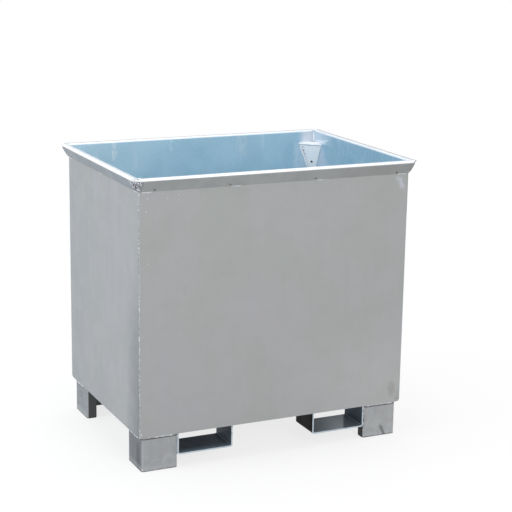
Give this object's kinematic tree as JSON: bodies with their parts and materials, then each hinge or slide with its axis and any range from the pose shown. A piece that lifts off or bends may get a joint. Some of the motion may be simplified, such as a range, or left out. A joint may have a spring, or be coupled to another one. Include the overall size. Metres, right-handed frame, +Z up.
{
  "type": "metal stacking bin",
  "caption": "Deep open-topped galvanised sheet-steel bin with a folded rim, corner stacking seats, folded feet and fork loops under the floor.",
  "frame": {"origin": "centre of the footprint, on the surface that the feet stand on", "axes": "+X along the wide front from left to right, +Y from the front to the rear, +Z up"},
  "size_m": [1.258, 0.923, 1.207],
  "materials": {
    "galvanised_wall": "hot-dip galvanised sheet, dull grey with faint streaks",
    "galvanised_plate": "hot-dip galvanised plate, grey with smears and runs",
    "galvanised_weld": "hot-dip galvanised weld bead, rippled and brighter than the sheet"
  },
  "bodies": {
    "root": {"front_right_wall": "galvanised_wall", "rear_left_wall": "galvanised_wall", "floor_plate": "galvanised_plate", "front_left_seam_weld": "galvanised_weld", "rear_right_seam_weld": "galvanised_weld", "rim_corner_welds": "galvanised_weld", "seat_welds": "galvanised_weld", "foot_welds": "galvanised_weld", "fork_loop_welds": "galvanised_weld", "floor_welds": "galvanised_weld", "rim_stitch_welds": "galvanised_weld", "front_left_rim_corner_plate": "galvanised_plate", "front_right_rim_corner_plate": "galvanised_plate", "rear_left_rim_corner_plate": "galvanised_plate", "rear_right_rim_corner_plate": "galvanised_plate", "front_left_stacking_seat": "galvanised_plate", "front_right_stacking_seat": "galvanised_plate", "rear_left_stacking_seat": "galvanised_plate", "rear_right_stacking_seat": "galvanised_plate", "front_left_seat_gusset": "galvanised_plate", "front_right_seat_gusset": "galvanised_plate", "rear_left_seat_gusset": "galvanised_plate", "rear_right_seat_gusset": "galvanised_plate", "front_left_foot": "galvanised_plate", "front_right_foot": "galvanised_plate", "rear_left_foot": "galvanised_plate", "rear_right_foot": "galvanised_plate", "front_left_fork_loop": "galvanised_plate", "front_right_fork_loop": "galvanised_plate", "rear_left_fork_loop": "galvanised_plate", "rear_right_fork_loop": "galvanised_plate"}
  },
  "joints": []
}
